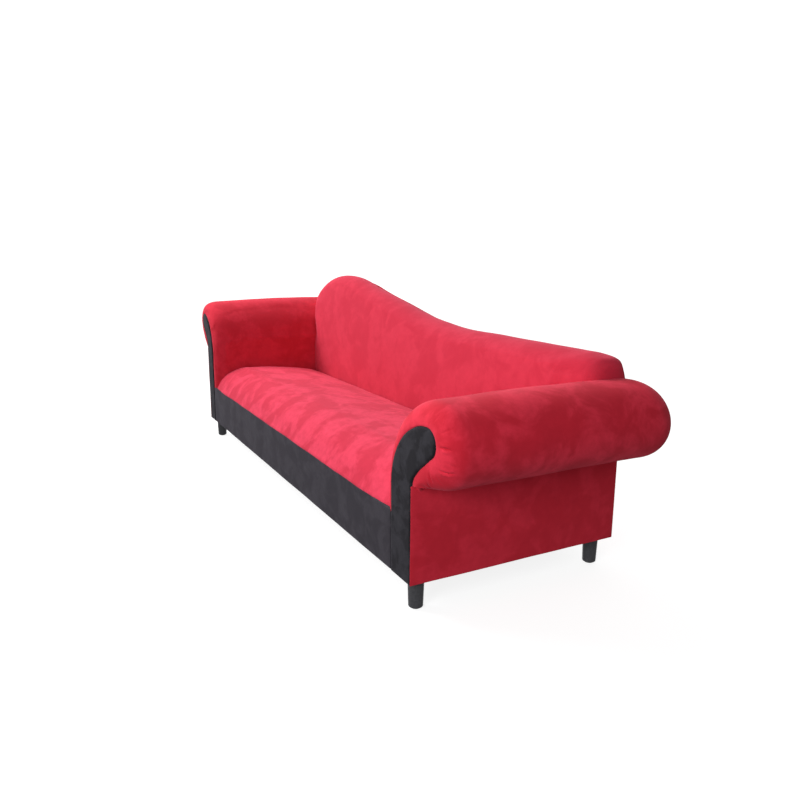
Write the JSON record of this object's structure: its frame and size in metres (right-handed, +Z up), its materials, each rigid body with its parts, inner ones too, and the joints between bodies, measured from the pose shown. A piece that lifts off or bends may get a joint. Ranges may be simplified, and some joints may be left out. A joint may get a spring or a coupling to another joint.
{
  "type": "three-seater sofa",
  "caption": "Upholstered sofa with scroll arms of unequal height, a back that falls from a hump to a low level run, a tight crowned seat, dark facings and short round legs.",
  "frame": {"origin": "on the floor, below the middle of the sofa's box", "axes": "+X along the sofa towards the low arm, +Y towards the back, +Z up; the seat faces -Y"},
  "size_m": [2.664, 0.8061, 0.8887],
  "materials": {
    "red_suede": "brushed suede cloth",
    "black_suede": "brushed suede cloth",
    "foam": "open-cell foam",
    "card": "raw card",
    "spring_steel": "oiled wire",
    "zinc_steel": "zinc plated",
    "webbing": "woven elastic",
    "hessian": "coarse plain weave",
    "dust_cloth": "non-woven cloth",
    "glide_plastic": "moulded",
    "leg_black": "satin moulded",
    "plywood": "raw plywood",
    "timber": "sawn softwood"
  },
  "bodies": {
    "root": {"arm_seat_rails": "timber", "back_cover": "red_suede", "back_foam": "foam", "back_post_left_end": "timber", "back_post_left_middle": "timber", "back_post_right_end": "timber", "back_post_right_middle": "timber", "back_tack_rails": "timber", "back_top_board": "plywood", "back_top_padding": "foam", "back_webbing": "webbing", "corner_blocks": "timber", "dust_cover": "dust_cloth", "frame_screws": "zinc_steel", "front_border_cover": "black_suede", "front_border_padding": "foam", "front_rail": "timber", "left_arm_cover": "red_suede", "left_arm_foam": "foam", "left_arm_front_board": "plywood", "left_arm_liner": "card", "left_arm_rear_board": "plywood", "left_arm_slats": "timber", "left_end_rail": "timber", "left_facing_board": "plywood", "left_facing_cover": "black_suede", "left_roll_end_cover": "red_suede", "left_roll_end_pad": "foam", "left_side_cover": "red_suede", "left_side_liner": "card", "leg_bolts": "zinc_steel", "leg_front_left": "leg_black", "leg_front_right": "leg_black", "leg_glides": "glide_plastic", "leg_rear_left": "leg_black", "leg_rear_right": "leg_black", "leg_tee_nuts": "zinc_steel", "outside_back_cover": "red_suede", "outside_back_liner": "card", "rear_rail": "timber", "right_arm_cover": "red_suede", "right_arm_foam": "foam", "right_arm_front_board": "plywood", "right_arm_liner": "card", "right_arm_rear_board": "plywood", "right_arm_slats": "timber", "right_end_rail": "timber", "right_facing_board": "plywood", "right_facing_cover": "black_suede", "right_roll_end_cover": "red_suede", "right_roll_end_pad": "foam", "right_side_cover": "red_suede", "right_side_liner": "card", "seat_cover": "red_suede", "seat_cross_rails": "timber", "seat_deck_cloth": "hessian", "seat_foam": "foam", "seat_springs": "spring_steel", "spring_clips": "zinc_steel", "spring_tie_wires": "spring_steel"}
  },
  "joints": []
}
